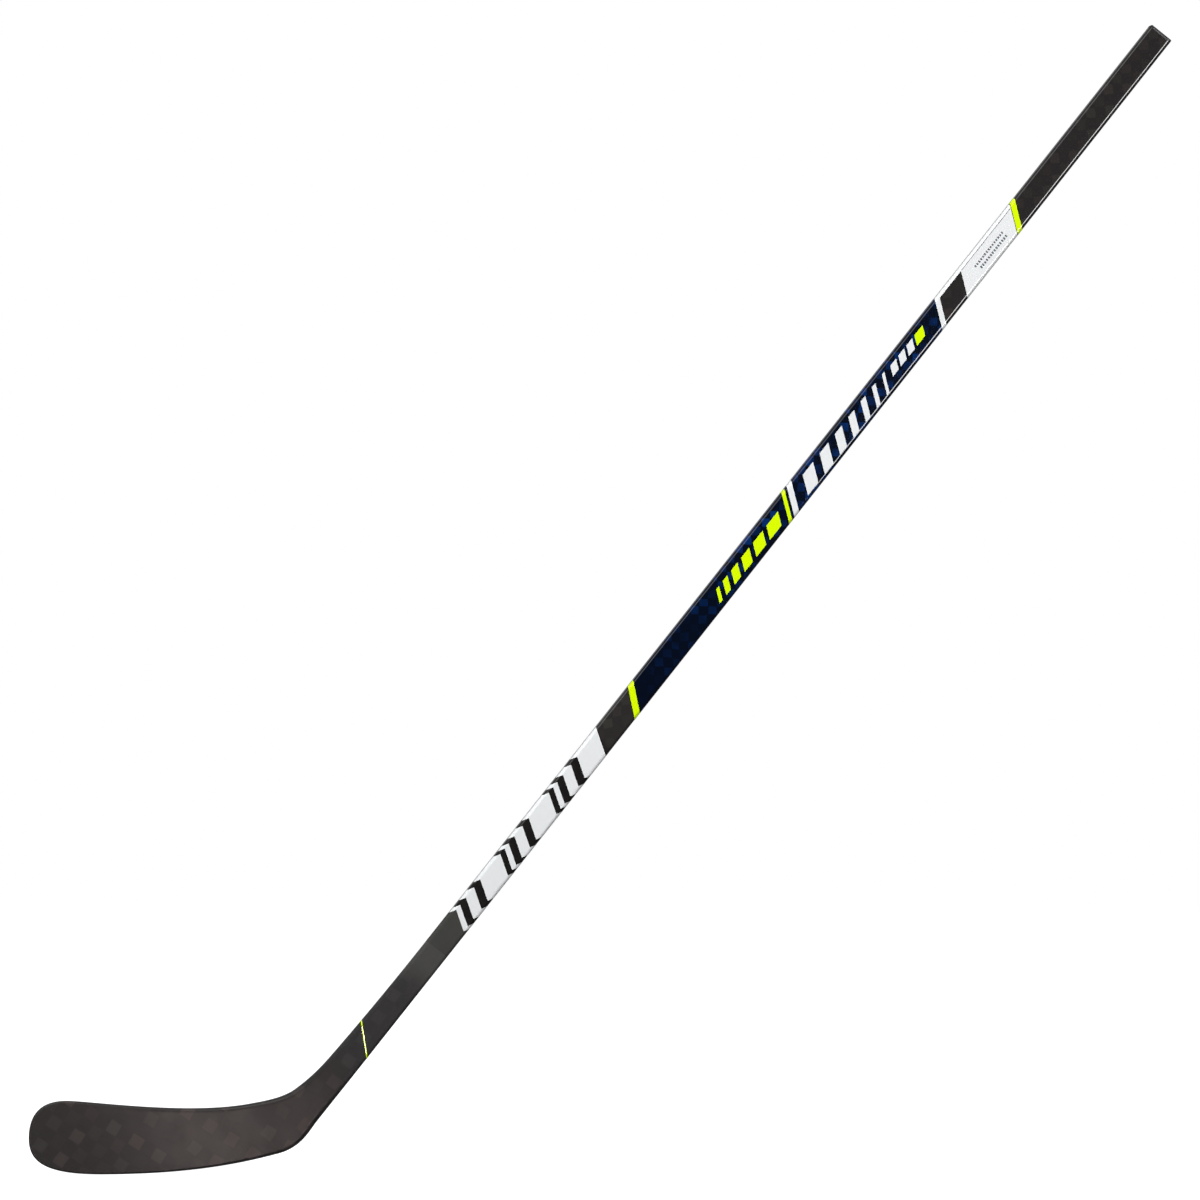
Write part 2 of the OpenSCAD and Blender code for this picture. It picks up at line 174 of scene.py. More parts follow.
@dataclass
class BladeForm:
    """The moulded form of neck and blade, as the CAD source draws it, at a finer step.

    Attributes:
        axes: The shaft's directions.
        neck_mm: Length of the centre line from the blade joint to the ice.
        straight_mm: Length of the shaft above the joint.
        half_width_mm: Half the shaft's width.
        thickness_mm: Thickness at each knot.
        rounding_mm: Edge radius at each knot.
        toe_forward_mm: How far the toe stands forward of the shaft's middle plane.
        loft: How far the top edge leans back at the toe, in degrees.
        bow_start_mm: Where the forward sweep begins.
        loft_axis_mm: Height about which the face twists.
        sweep_power: How late the forward sweep comes on.
        lean_power: How late the lean of the top edge comes on.
        skin_mm: Thickness of a face skin.
        seam_in_mm: How far a seam lies inside the rounded edge.
        most_radius: Greatest edge radius, as a share of the thickness.
        steps: Stations between one knot and the next.
        arc_steps: Facets in each quarter of the rounded edge.
    """

    axes: ShaftAxes
    neck_mm: float = 306.9
    straight_mm: float = 1263.0
    half_width_mm: float = 14.0
    thickness_mm: tuple[float, ...] = (19.0, 17.2, 13.6, 10.4, 6.2, 5.4)
    rounding_mm: tuple[float, ...] = (3.75, 3.9, 5.2, 4.2, 2.5, 2.2)
    toe_forward_mm: float = 41.0
    loft: float = 6.0
    bow_start_mm: float = 7.0
    loft_axis_mm: float = 36.0
    sweep_power: float = 1.9
    lean_power: float = 1.3
    skin_mm: float = 1.1
    seam_in_mm: float = 1.0
    most_radius: float = 0.44
    steps: tuple[int, ...] = (32, 20, 26, 54, 44)
    arc_steps: int = 10
    knots: dict[Edge, list[Knot]] = field(init=False)

    def __post_init__(self) -> None:
        """Lays out the knots of both edges, then everything that follows from them."""
        down = 180.0 + self.axes.lie
        top = self.axes.beside(self.neck_mm, self.half_width_mm)
        low = [self.axes.beside(d, -self.half_width_mm) for d in (self.neck_mm, 144.9, 78.9)]
        self.knots = {
            Edge.TOP: [
                Knot(*top, down, 0.0, 52.0),
                Knot(76.0, 124.9, 229.0, 54.0, 21.0),
                Knot(36.8, 88.6, 215.9, 17.0, 17.0),
                Knot(-15.1, 72.5, 189.4, 17.0, 69.5),
                Knot(-208.7, 81.0, 177.7, 24.5, 29.0),
                Knot(-248.1, 43.0, 270.0, 23.5, 0.0),
            ],
            Edge.BOTTOM: [
                Knot(*low[0], down, 0.0, 54.0),
                Knot(*low[1], down, 54.0, 22.0),
                Knot(*low[2], down, 22.0, 12.0),
                Knot(18.7, 18.7, 194.7, 25.9, 37.9),
                Knot(-171.6, 0.9, 177.5, 96.7, 61.5),
                Knot(-248.1, 43.0, 90.0, 24.0, 0.0),
            ],
        }
        self.tip = sum(self.steps)
        self.last = 2 * self.tip
        top_line, low_line = self._edge(Edge.TOP), self._edge(Edge.BOTTOM)
        self.rim = np.vstack([top_line, low_line[-2::-1]])
        self.thick = self._mirrored(self._by_station(self.thickness_mm))
        rounding = self._mirrored(self._by_station(self.rounding_mm))
        self.radius = np.minimum(rounding, self.most_radius * self.thick)
        self.outward = self._outward()
        self.seam = self.rim - (self.radius + self.seam_in_mm)[:, None] * self.outward
        self.seam[self.tip] = (self.seam[self.tip - 1] + self.seam[self.tip + 1]) / 2
        self.butt = np.array(self.axes.beside(self.straight_mm + self.neck_mm, 0.0))

    def _edge(self, edge: Edge) -> np.ndarray:
        """Walks one edge from the joint to the toe tip.

        Args:
            edge: Which edge.

        Returns:
            One point for each station.
        """
        points = []
        knots = self.knots[edge]
        for a, b, count in zip(knots, knots[1:], self.steps):
            q = a.point + a.pull_out_mm * a.ahead
            r = b.point - b.pull_in_mm * b.ahead
            for t in np.arange(count) / count:
                points.append((1 - t) ** 3 * a.point + 3 * t * (1 - t) ** 2 * q
                              + 3 * t * t * (1 - t) * r + t**3 * b.point)
        points.append(knots[-1].point)
        return np.array(points)

    def _by_station(self, values: tuple[float, ...]) -> np.ndarray:
        """Gives a smooth value at each station from the values at the knots.

        Args:
            values: One value for each knot.

        Returns:
            One value for each station, from the joint to the tip.
        """
        held = [values[0], *values, values[-1]]
        out = []
        for i, count in enumerate(self.steps):
            a, b, c = held[i], held[i + 1], held[i + 2]
            d = held[min(i + 3, len(held) - 1)]
            for t in np.arange(count) / count:
                out.append(b + t * (c - a) / 2 + t * t * (a - 2.5 * b + 2 * c - d / 2)
                           + t**3 * (1.5 * b - a / 2 - 1.5 * c + d / 2))
        out.append(values[-1])
        return np.array(out)

    def _mirrored(self, values: np.ndarray) -> np.ndarray:
        """Carries values along the top edge on round the tip and back along the bottom edge."""
        return np.concatenate([values, values[-2::-1]])

    def _outward(self) -> np.ndarray:
        """Gives the outward direction at each point of the rim, square to the shaft at the ends."""
        along = np.zeros_like(self.rim)
        along[1:-1] = self.rim[2:] - self.rim[:-2]
        along[1:-1] /= np.linalg.norm(along[1:-1], axis=1)[:, None]
        out = np.stack([along[:, 1], -along[:, 0]], 1)
        out[0] = self.axes.beside(0.0, 1.0)
        out[-1] = self.axes.beside(0.0, -1.0)
        return out

    def _middle(self, points: np.ndarray) -> np.ndarray:
        """Gives the depth of the blade's middle surface at ice points.

        Args:
            points: Array of x and z, in millimetres.

        Returns:
            The y of the middle surface, in millimetres.
        """
        toe_x = self.knots[Edge.TOP][-1].x_mm
        x, z = points[..., 0], points[..., 1]
        sweep = np.maximum(0.0, (self.bow_start_mm - x) / (self.bow_start_mm - toe_x))
        lean = math.tan(math.radians(self.loft))
        return (-self.toe_forward_mm * sweep**self.sweep_power
                + (z - self.loft_axis_mm) * lean * sweep**self.lean_power)

    def place(self, points: np.ndarray, forward_mm: np.ndarray) -> np.ndarray:
        """Puts ice points into the row frame.

        Args:
            points: Array of x and z, in millimetres.
            forward_mm: Distance from the middle surface, + towards the back.

        Returns:
            Array of x, y and z, in metres.
        """
        y = self._middle(points) + forward_mm
        return np.stack([points[..., 0] - self.butt[0], y, points[..., 1] - self.butt[1]], -1) * MM

    def profile(self, k: int, grow_mm: float = 0.0) -> np.ndarray:
        """Gives the rounded outer section of the rim at a station.

        Args:
            k: Station on the rim.
            grow_mm: How far the section is grown outwards.

        Returns:
            Array of points in metres, from the front seam round the edge to the back seam.
        """
        t, r, g = self.thick[k], self.radius[k], grow_mm
        reach = np.linalg.norm(self.rim[k] - self.seam[k])
        out = (self.rim[k] - self.seam[k]) / reach
        turn = np.radians(np.linspace(0, 90, self.arc_steps + 1))
        front = np.stack([reach - r + (r + g) * np.sin(turn), r - t / 2 - (r + g) * np.cos(turn)], 1)
        back = np.stack([front[::-1, 0], -front[::-1, 1]], 1)
        section = np.vstack([[0, -t / 2 - g], front, back, [0, t / 2 + g]])
        return self.place(self.seam[k] + section[:, :1] * out, section[:, 1])

    def shaft_mm(self, points: np.ndarray) -> tuple[np.ndarray, np.ndarray]:
        """Gives row-frame points as distances along and across the shaft.

        Args:
            points: Array of points in metres.

        Returns:
            Distance down from the butt and distance towards the outer edge, in millimetres.
        """
        return -(points @ np.array(self.axes.up)) / MM, (points @ np.array(self.axes.outer)) / MM


# ---------------------------------------------------------------------------
# Mesh helpers
# ---------------------------------------------------------------------------


@dataclass
class Facets:
    """A growing mesh: its points, its faces, and which faces belong to the smooth outside."""

    points: list[np.ndarray] = field(default_factory=list)
    faces: list[tuple[int, ...]] = field(default_factory=list)
    outside: list[bool] = field(default_factory=list)
    count: int = 0

    def add_grid(self, grid: np.ndarray) -> np.ndarray:
        """Adds a grid of points.

        Args:
            grid: Array of rows by columns by 3.

        Returns:
            The grid of the new points' numbers.
        """
        self.points.append(grid.reshape(-1, 3))
        ids = np.arange(grid.shape[0] * grid.shape[1]).reshape(grid.shape[:2]) + self.count
        self.count += ids.size
        return ids

    def skin(self, ids: np.ndarray, outside: bool, flip: bool = False) -> None:
        """Adds a quad for each cell of a grid of point numbers.

        Args:
            ids: Grid of point numbers.
            outside: True if the faces are part of the smooth outside.
            flip: True to turn the faces over.
        """
        for r in range(ids.shape[0] - 1):
            for c in range(ids.shape[1] - 1):
                quad = (ids[r, c], ids[r + 1, c], ids[r + 1, c + 1], ids[r, c + 1])
                self.faces.append(tuple(int(i) for i in (quad[::-1] if flip else quad)))
                self.outside.append(outside)

    def sheet(self, grid: np.ndarray, outside: bool, flip: bool = False) -> None:
        """Adds a grid of quads with points of its own, so that its shading stays apart.

        Args:
            grid: Array of rows by columns by 3.
            outside: True if the faces are part of the smooth outside.
            flip: True to turn the faces over.
        """
        self.skin(self.add_grid(grid), outside, flip)

    def cap(self, ring: np.ndarray, flip: bool = False) -> None:
        """Closes an end with one face that has points of its own.

        Args:
            ring: Array of points by 3.
            flip: True to turn the face over.
        """
        ids = self.add_grid(ring[None])[0]
        self.faces.append(tuple(int(i) for i in (ids[::-1] if flip else ids)))
        self.outside.append(False)

    def vertices(self) -> np.ndarray:
        """All points as one array."""
        return np.vstack(self.points)


def place_key(point: np.ndarray) -> tuple[int, ...]:
    """Names a place by whole steps, so that points that meet share it."""
    return tuple(np.round(point / MM * KEY_STEPS).astype(int))


def outside_normals(parts: list[Facets]) -> Normals:
    """Averages the normals of the outside over parts that meet, so that no seam shows.

    Args:
        parts: The meshes whose outsides form one surface.

    Returns:
        The normal at each place, by its place in steps of a thousandth of a millimetre.
    """
    total: Normals = {}
    for part in parts:
        v = part.vertices()
        for face, outer in zip(part.faces, part.outside):
            if not outer:
                continue
            a, b, c, d = (v[i] for i in face)
            normal = np.cross(c - a, d - b)
            for corner in (a, b, c, d):
                key = place_key(corner)
                total[key] = total.get(key, 0) + normal
    return total


def make_mesh(name: str, part: Facets, normals: Normals | None = None) -> bpy.types.Object:
    """Makes a Blender object from facets, with smooth normals on its outside.

    Args:
        name: The piece's name.
        part: The facets.
        normals: Shared normals from outside_normals; None for this part's own.

    Returns:
        The new object, linked to the scene.
    """
    v = part.vertices()
    mesh = bpy.data.meshes.new(name)
    mesh.from_pydata([tuple(p) for p in v], [], part.faces)
    mesh.update()
    shared = normals if normals is not None else outside_normals([part])
    mesh.polygons.foreach_set("use_smooth", [True] * len(mesh.polygons))
    corners = []
    for polygon, outer in zip(mesh.polygons, part.outside):
        for i in polygon.vertices:
            key = place_key(v[i])
            normal = shared[key] if outer and key in shared else np.array(polygon.normal)
            corners.append(tuple(normal / max(np.linalg.norm(normal), 1e-12)))
    mesh.normals_split_custom_set(corners)
    thing = bpy.data.objects.new(name, mesh)
    bpy.context.scene.collection.objects.link(thing)
    return thing


def announce(thing: bpy.types.Object, slot: Slot, *nodes: str) -> bpy.types.Object:
    """Rides a piece on the stick, hides the CAD nodes that it stands for, and logs it with their
    names.

    Args:
        thing: The piece.
        slot: The record's slot; not used.
        nodes: CAD nodes that the piece replaces.

    Returns:
        The piece.
    """
    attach(thing, BODY)
    if nodes:
        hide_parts(*nodes)
    log.info("%s: %d faces, stands for %s", thing.name, len(thing.data.polygons), nodes or "itself")
    return thing


# ---------------------------------------------------------------------------
# Shader helpers and shared groups
# ---------------------------------------------------------------------------


class Graph:
    """Short ways to add and join shader nodes in one tree."""

    def __init__(self, tree: bpy.types.NodeTree) -> None:
        """Works on the given tree."""
        self.tree = tree

    def add(self, kind: str, **settings: object) -> bpy.types.Node:
        """Adds a node.

        Args:
            kind: The node's type name, after "ShaderNode".
            settings: Properties to set on it.

        Returns:
            The node.
        """
        node = self.tree.nodes.new(kind if kind.startswith("Node") else "ShaderNode" + kind)
        for name, value in settings.items():
            setattr(node, name, value)
        return node

    def join(self, source: object, target: Socket) -> None:
        """Links a socket, or sets a plain value, into a target socket."""
        if isinstance(source, bpy.types.NodeSocket):
            self.tree.links.new(source, target)
        elif target.type == "RGBA":
            target.default_value = (*source, 1.0) if len(source) == 3 else source
        else:
            target.default_value = source

    def math(self, operation: str, *terms: object, clamp: bool = False) -> Socket:
        """Adds a Math node over sockets or numbers and returns its output."""
        node = self.add("Math", operation=operation, use_clamp=clamp)
        for term, target in zip(terms, node.inputs):
            self.join(term, target)
        return node.outputs[0]

    def vector(self, operation: str, *terms: object) -> bpy.types.Node:
        """Adds a Vector Math node over sockets or triples and returns the node."""
        node = self.add("VectorMath", operation=operation)
        for term, target in zip(terms, node.inputs):
            self.join(term, target)
        return node

    def blend(self, factor: object, low: object, high: object) -> Socket:
        """Mixes two colours by a factor and returns the colour."""
        node = self.add("Mix", data_type="RGBA")
        self.join(factor, node.inputs["Factor"])
        self.join(low, node.inputs["A"] if node.inputs["A"].type == "RGBA" else node.inputs[6])
        self.join(high, node.inputs["B"] if node.inputs["B"].type == "RGBA" else node.inputs[7])
        return node.outputs[2]

    def mix(self, factor: object, low: object, high: object) -> Socket:
        """Mixes two numbers by a factor and returns the number."""
        node = self.add("Mix", data_type="FLOAT")
        for value, target in ((factor, 0), (low, 2), (high, 3)):
            self.join(value, node.inputs[target])
        return node.outputs[0]

    def between(self, value: object, low: float, high: float, to_low: float = 0.0,
                to_high: float = 1.0, smooth: bool = True) -> Socket:
        """Maps a value from one span to another, held at both ends.

        Args:
            value: What is mapped.
            low: Start of the span.
            high: End of the span.
            to_low: Result at the start.
            to_high: Result at the end.
            smooth: True for a smooth step, False for a straight ramp.

        Returns:
            The mapped value.
        """
        kind = "SMOOTHSTEP" if smooth else "LINEAR"
        node = self.add("MapRange", interpolation_type=kind)
        for term, target in zip((value, low, high, to_low, to_high), node.inputs):
            self.join(term, target)
        return node.outputs[0]

    def noise(self, vector: Socket, scale: float, detail: float) -> bpy.types.NodeOutputs:
        """Adds a noise over a vector and returns its outputs."""
        node = self.add("TexNoise", noise_dimensions="3D")
        for value, name in ((vector, "Vector"), (scale, "Scale"), (detail, "Detail")):
            self.join(value, node.inputs[name])
        return node.outputs

    def scaled(self, vector: object, scale: object) -> Socket:
        """Scales a vector or colour and returns it."""
        node = self.vector("SCALE", vector)
        self.join(scale, node.inputs["Scale"])
        return node.outputs[0]

    def place_group(self, group: bpy.types.NodeTree, **inputs: object) -> bpy.types.Node:
        """Places a node group and joins its inputs.

        Args:
            group: The group.
            inputs: Values by socket name, with spaces written as underscores.

        Returns:
            The group node.
        """
        node = self.add("Group")
        node.node_tree = group
        for name, value in inputs.items():
            self.join(value, node.inputs[name.replace("_", " ")])
        return node


class SharedGroup:
    """A shader node group with named sockets, made once."""

    def __init__(self, name: str, inputs: dict[str, tuple[str, object]], outputs: dict[str, str]
                 ) -> None:
        """Makes the group and its sockets.

        Args:
            name: The group's name.
            inputs: Socket type suffix and default by name.
            outputs: Socket type suffix by name.
        """
        self.tree = bpy.data.node_groups.new(name, "ShaderNodeTree")
        for title, (kind, default) in inputs.items():
            made = self.tree.interface.new_socket(title, in_out="INPUT",
                                                  socket_type="NodeSocket" + kind)
            if default is not None:
                made.default_value = default
        for title, kind in outputs.items():
            self.tree.interface.new_socket(title, in_out="OUTPUT", socket_type="NodeSocket" + kind)
        self.graph = Graph(self.tree)
        self.given = self.graph.add("NodeGroupInput").outputs
        self.result = self.graph.add("NodeGroupOutput").inputs


@dataclass
class Effects:
    """The shader groups that several finishes share.

    Attributes:
        axes: The shaft's directions.
    """

    axes: ShaftAxes

    def __post_init__(self) -> None:
        """Builds each group once."""
        self.stick_axes = self._stick_axes()
        self.spread_tow = self._spread_tow()
        self.lacquer = self._lacquer()
        self.print_grain = self._print_grain()
        self.corner_wear = self._corner_wear()

    def _stick_axes(self) -> bpy.types.NodeTree:
        """Makes the group that gives a point's place along, across and through the shaft."""
        kinds = {"Along": "Float", "Across": "Float", "Depth": "Float", "Face": "Vector"}
        group = SharedGroup("Stick axes", {"Per Metre": ("Float", PER_METRE)}, kinds)
        g = group.graph
        here = g.add("TexCoord").outputs["Object"]

        def measured(direction: Vector) -> Socket:
            """Distance along one direction, in millimetres."""
            dot = g.vector("DOT_PRODUCT", here, tuple(direction)).outputs["Value"]
            return g.math("MULTIPLY", dot, group.given["Per Metre"])

        along = measured(-self.axes.up)
        across = measured(self.axes.outer)
        depth = measured(Vector((0.0, 1.0, 0.0)))
        face = g.add("CombineXYZ")
        g.join(along, face.inputs[0])
        g.join(g.math("ADD", across, g.math("MULTIPLY", depth, 0.9)), face.inputs[1])
        for value, name in ((along, "Along"), (across, "Across"), (depth, "Depth"),
                            (face.outputs[0], "Face")):
            g.join(value, group.result[name])
        return group.tree

    def _spread_tow(self) -> bpy.types.NodeTree:
        """Makes the weave of broad flat tows: soft squares, a shade for each, and fibre lines."""
        group = SharedGroup(
            "Spread tow",
            {"Vector": ("Vector", None), "Tow Width": ("Float", 14.0), "Turn": ("Float", 45.0),
             "Second": ("Float", 0.3), "Waver": ("Float", 1.0), "Seed": ("Float", 0.0)},
            {"Square": "Float", "Shade": "Float", "Fibre": "Float", "Height": "Float"},
        )
        g, given = group.graph, group.given
        noise = g.noise(given["Vector"], 0.035, 2.0)
        shift = g.vector("SUBTRACT", noise["Color"], (0.5, 0.5, 0.5)).outputs[0]
        push = g.scaled(shift, g.math("MULTIPLY", given["Waver"], 6.0))
        moved = g.vector("ADD", given["Vector"], push)
        turned = g.add("VectorRotate", rotation_type="Z_AXIS")
        g.join(moved.outputs[0], turned.inputs["Vector"])
        g.join(g.math("RADIANS", given["Turn"]), turned.inputs["Angle"])
        parts = g.add("SeparateXYZ")
        g.join(g.scaled(turned.outputs[0], g.math("DIVIDE", 1.0, given["Tow Width"])), parts.inputs[0])

        waves = [g.math("SINE", g.math("MULTIPLY", parts.outputs[axis], math.pi))
                 for axis in (0, 1)]

        def both(low: float, high: float) -> Socket:
            """One where both waves are past the same edge."""
            return g.math("MULTIPLY", *(g.between(wave, low, high) for wave in waves))

        start, full = 0.05, 0.28
        first, second = both(-start, full), both(start, -full)
        square = g.math("MULTIPLY_ADD", second, given["Second"], first, clamp=True)
        checker = g.math("MULTIPLY", *waves)
        number = g.add("CombineXYZ")
        for axis in (0, 1):
            g.join(g.math("FLOOR", parts.outputs[axis]), number.inputs[axis])
        g.join(given["Seed"], number.inputs[2])
        shade = g.add("TexWhiteNoise", noise_dimensions="3D")
        g.join(number.outputs[0], shade.inputs["Vector"])

        def streaks(along: tuple[float, float, float], seed: float) -> Socket:
            """Fine lines that run along one tow direction."""
            stretched = g.vector("MULTIPLY", turned.outputs[0], along).outputs[0]
            return g.noise(g.vector("ADD", stretched, (0.0, 0.0, seed)).outputs[0], 1.0, 3.0)["Fac"]

        warp, weft = streaks((0.05, 1.9, 0.5), 3.0), streaks((1.9, 0.05, 0.5), 9.0)
        fibre = g.mix(square, warp, weft)
        ridge = g.between(g.math("ABSOLUTE", checker), 0.0, 0.35)
        height = g.math("ADD", g.math("MULTIPLY", ridge, 0.7), g.math("MULTIPLY", fibre, 0.3))
        for value, name in ((square, "Square"), (shade.outputs["Value"], "Shade"),
                            (fibre, "Fibre"), (height, "Height")):
            g.join(value, group.result[name])
        return group.tree

    def _lacquer(self) -> bpy.types.NodeTree:
        """Makes the lacquer's uneven gloss: broad flow, fine orange peel and light hairlines."""
        group = SharedGroup(
            "Lacquer",
            {"Vector": ("Vector", None), "Roughness": ("Float", 0.3), "Unevenness": ("Float", 0.05),
             "Hairlines": ("Float", 0.3)},
            {"Roughness": "Float", "Hairline": "Float", "Height": "Float"},
        )
        g, given = group.graph, group.given
        flow = g.noise(given["Vector"], 0.045, 4.0)
        peel = g.noise(given["Vector"], 1.1, 1.0)
        stretched = g.vector("MULTIPLY", given["Vector"], (0.035, 1.4, 1.0))
        lines = g.noise(stretched.outputs[0], 1.0, 5.0)
        mark = g.between(lines["Fac"], 0.66, 0.72)
        hairline = g.math("MULTIPLY", mark, given["Hairlines"])
        spread = g.math("SUBTRACT", flow["Fac"], 0.5)
        spread = g.math("MULTIPLY", spread, g.math("MULTIPLY", given["Unevenness"], 2.0))
        rough = g.math("ADD", given["Roughness"], spread)
        rough = g.math("ADD", rough, g.math("MULTIPLY", hairline, 0.12), clamp=True)
        g.join(rough, group.result["Roughness"])
        g.join(hairline, group.result["Hairline"])
        g.join(g.math("MULTIPLY", peel["Fac"], 0.6), group.result["Height"])
        return group.tree

    def _print_grain(self) -> bpy.types.NodeTree:
        """Makes the slight mottle and the fine screen of a printed transfer."""
        group = SharedGroup(
            "Print grain",
            {"Vector": ("Vector", None), "Mottle": ("Float", 0.03), "Screen": ("Float", 0.02),
             "Pitch": ("Float", 0.5)},
            {"Tone": "Float", "Height": "Float"},
        )
        g, given = group.graph, group.given
        mottle = g.noise(given["Vector"], 0.16, 3.0)["Fac"]
        dots = g.add("TexVoronoi", feature="F1", distance="EUCLIDEAN")
        g.join(g.scaled(given["Vector"], g.math("DIVIDE", 1.0, given["Pitch"])), dots.inputs["Vector"])
        g.join(1.0, dots.inputs["Scale"])
        low = g.math("MULTIPLY", g.math("SUBTRACT", mottle, 0.5), given["Mottle"])
        fine = g.math("MULTIPLY", g.math("SUBTRACT", dots.outputs["Distance"], 0.4), given["Screen"])
        tone = g.math("ADD", 1.0, g.math("ADD", low, fine))
        g.join(tone, group.result["Tone"])
        g.join(mottle, group.result["Height"])
        return group.tree

    def _corner_wear(self) -> bpy.types.NodeTree:
        """Makes the mask of faint rubbing along the shaft's four long corners."""
        group = SharedGroup(
            "Corner wear",
            {"Vector": ("Vector", None), "Across": ("Float", 0.0), "Depth": ("Float", 0.0),
             "Half Width": ("Float", 14.0), "Half Depth": ("Float", 9.5),
             "Amount": ("Float", 0.3)},
            {"Wear": "Float"},
        )
        g, given = group.graph, group.given

        def near(value: str, half: str) -> Socket:
            """One near that side's end, nought in the middle."""
            left = g.math("SUBTRACT", given[half], g.math("ABSOLUTE", given[value]))
            return g.between(left, 0.4, 2.6, 1.0, 0.0)

        corner = g.math("MULTIPLY", near("Across", "Half Width"), near("Depth", "Half Depth"))
        patches = g.noise(given["Vector"], 0.12, 6.0)
        rubbed = g.between(patches["Fac"], 0.48, 0.62)
        wear = g.math("MULTIPLY", g.math("MULTIPLY", corner, rubbed), given["Amount"])
        g.join(wear, group.result["Wear"])
        return group.tree


# ---------------------------------------------------------------------------
# Finishes
# ---------------------------------------------------------------------------


@dataclass(frozen=True)
class Finish:
    """A surface finish: its name and how it shines. Each kind dresses its own material.

    Attributes:
        name: The material's name.
        roughness: Roughness under the lacquer.
        coat: Weight of the clear lacquer.
        coat_roughness: Roughness of the clear lacquer.
        bump_mm: Height of the surface's relief.
        specular: Strength of the reflection under the lacquer, 0.5 for plain plastic.
    """

    name: str
    roughness: float = 0.4
    specular: float = 0.3
    coat: float = 0.0
    coat_roughness: float = 0.05
    bump_mm: float = 0.02

    def build(self, effects: Effects) -> bpy.types.Material:
        """Makes the material.

        Args:
            effects: The shared shader groups.

        Returns:
            The material.
        """
        material = bpy.data.materials.new(self.name)
        material.use_nodes = True
        tree = material.node_tree
        tree.nodes.clear()
        g = Graph(tree)
        shader = g.add("BsdfPrincipled")
        output = g.add("OutputMaterial")
        g.join(shader.outputs[0], output.inputs["Surface"])
        shader.inputs["Coat Weight"].default_value = self.coat
        shader.inputs["Coat Roughness"].default_value = self.coat_roughness
        shader.inputs["Roughness"].default_value = self.roughness
        shader.inputs["Specular IOR Level"].default_value = self.specular
        places = g.place_group(effects.stick_axes).outputs
        self.dress(g, shader, places, effects)
        return material

    def dress(self, g: Graph, shader: bpy.types.Node, places: bpy.types.NodeOutputs,
              effects: Effects) -> None:
        """Adds what makes this finish itself. Kinds of finish override it."""
        raise NotImplementedError

    def rubbed(self, g: Graph, effects: Effects, places: bpy.types.NodeOutputs, amount: float,
               colour: Socket, worn: Colour) -> Socket:
        """Gives the colour with the shaft's long corners faintly rubbed.

        Args:
            g: The material's graph.
            effects: The shared groups.
            places: The point's place on the stick.
            amount: How strong the rub is.
            colour: The colour elsewhere.
            worn: The colour where it is rubbed.

        Returns:
            The colour.
        """
        wear = g.place_group(effects.corner_wear, Vector=places["Face"], Across=places["Across"],
                             Depth=places["Depth"], Amount=amount).outputs["Wear"]
        return g.blend(wear, colour, worn)

    def lacquered(self, g: Graph, effects: Effects, shader: bpy.types.Node, vector: Socket,
                  uneven: float, hairlines: float, roughness: object = None) -> Socket:
        """Feeds the lacquer's uneven gloss into the shader.

        Args:
            g: The material's graph.
            effects: The shared groups.
            shader: The Principled node.
            vector: Place on the surface, in millimetres.
            uneven: How much the gloss varies.
            hairlines: How strong the hairlines are.
            roughness: The mean roughness; None for the finish's own.

        Returns:
            The lacquer's height.
        """
        mean = self.roughness if roughness is None else roughness
        lacquer = g.place_group(effects.lacquer, Vector=vector, Roughness=mean, Unevenness=uneven,
                                Hairlines=hairlines).outputs
        g.join(lacquer["Roughness"], shader.inputs["Roughness"])
        return lacquer["Height"]

    def relief(self, g: Graph, shader: bpy.types.Node, height: Socket, strength: float = 1.0) -> None:
        """Feeds a height through a bump into the shader's normal.

        Args:
            g: The material's graph.
            shader: The Principled node.
            height: Height from 0 to 1.
            strength: The bump's strength.
        """
        bump = g.add("Bump")
        bump.inputs["Strength"].default_value = strength
        bump.inputs["Distance"].default_value = self.bump_mm * MM
        g.join(height, bump.inputs["Height"])
        g.join(bump.outputs[0], shader.inputs["Normal"])


@dataclass(frozen=True)
class TowLook:
    """How a carbon fabric shows: its dark and light shades and the size of its squares."""

    dark: Colour
    light: Colour
    warm: Colour
    tow_mm: float
    turn: float
    second: float
    seed: float
    fibre: float = 0.8
    floor: float = 0.15


